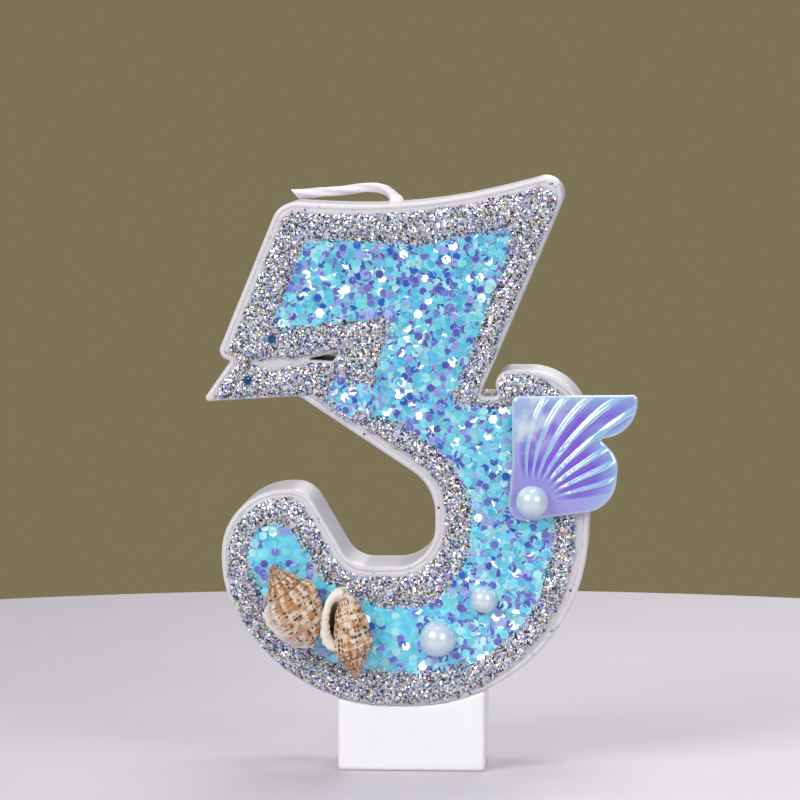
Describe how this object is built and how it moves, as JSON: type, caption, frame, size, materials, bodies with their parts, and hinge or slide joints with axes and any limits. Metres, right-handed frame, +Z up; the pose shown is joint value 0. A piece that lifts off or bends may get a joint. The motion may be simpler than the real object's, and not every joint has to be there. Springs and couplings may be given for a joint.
{
  "type": "number birthday candle",
  "caption": "Flat wax candle shaped as the figure three on a square-cut foot, with a bent wick, glitter border, sequin gel and sea-shell dressing.",
  "frame": {"origin": "middle of the foot block's underside, on the surface that the candle stands on", "axes": "+Z up, +X to the right as the figure is read, the dressed front faces -Y"},
  "size_m": [0.0498, 0.0189, 0.0687],
  "materials": {
    "wax": "cast white paraffin wax, softly translucent, satin skin",
    "foot": "cast white wax, cut square, satin",
    "wick": "braided white cotton dipped in wax",
    "glitter": "fine holographic silver polyester flakes in clear glue",
    "gel": "clear blue gel, glossy",
    "sequin": "iridescent hexagon sequins, violet to turquoise",
    "fan": "pearly iridescent moulded plastic, violet to aqua",
    "glue": "clear set glue",
    "pearl": "white pearl lacquer on a plastic half bead",
    "snail": "natural cream and brown spotted snail shell"
  },
  "bodies": {
    "root": {"wax_numeral": "wax", "foot_block": "foot", "wick": "wick", "glitter_border": "glitter", "blue_gel": "gel", "loose_sequins": "sequin", "fan_shell": "fan", "fan_glue_dab": "glue", "fan_pearl": "pearl", "large_pearl": "pearl", "small_pearl": "pearl", "left_snail_shell": "snail", "right_snail_shell": "snail", "snail_glue_dabs": "glue"}
  },
  "joints": []
}
